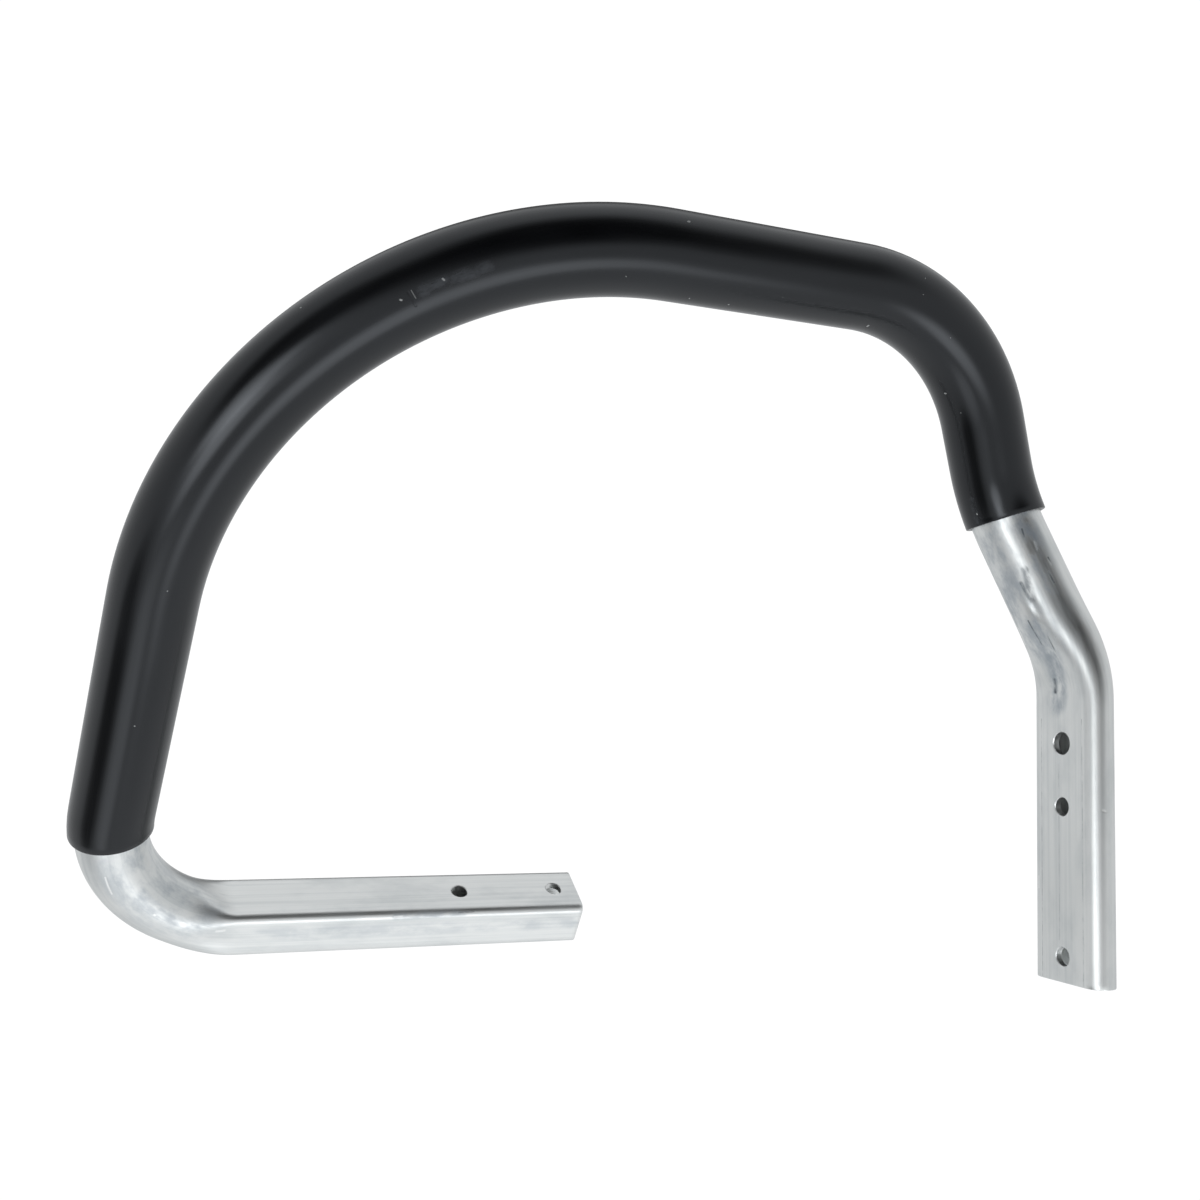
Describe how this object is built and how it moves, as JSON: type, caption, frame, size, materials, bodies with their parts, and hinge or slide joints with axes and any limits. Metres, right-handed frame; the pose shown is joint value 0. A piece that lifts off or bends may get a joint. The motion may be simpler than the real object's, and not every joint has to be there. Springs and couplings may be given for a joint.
{
  "type": "sleeved tube handlebar",
  "caption": "Bent aluminium tube handlebar with a black grip sleeve, pressed and drilled at both legs to bolt to a frame; a wrap-around assist rail.",
  "frame": {"origin": "on the hole face of the lower leg, midway between its two bolt holes", "axes": "+X along the lower leg to its free end, +Z opposite to the way the side leg points, -Y towards the side the hoop leans to"},
  "size_m": [0.3395, 0.1816, 0.255],
  "materials": {
    "aluminium": "satin mill finish",
    "black_plastic": "satin"
  },
  "bodies": {
    "root": {"handlebar_tube": "aluminium", "grip_sleeve": "black_plastic"}
  },
  "joints": []
}
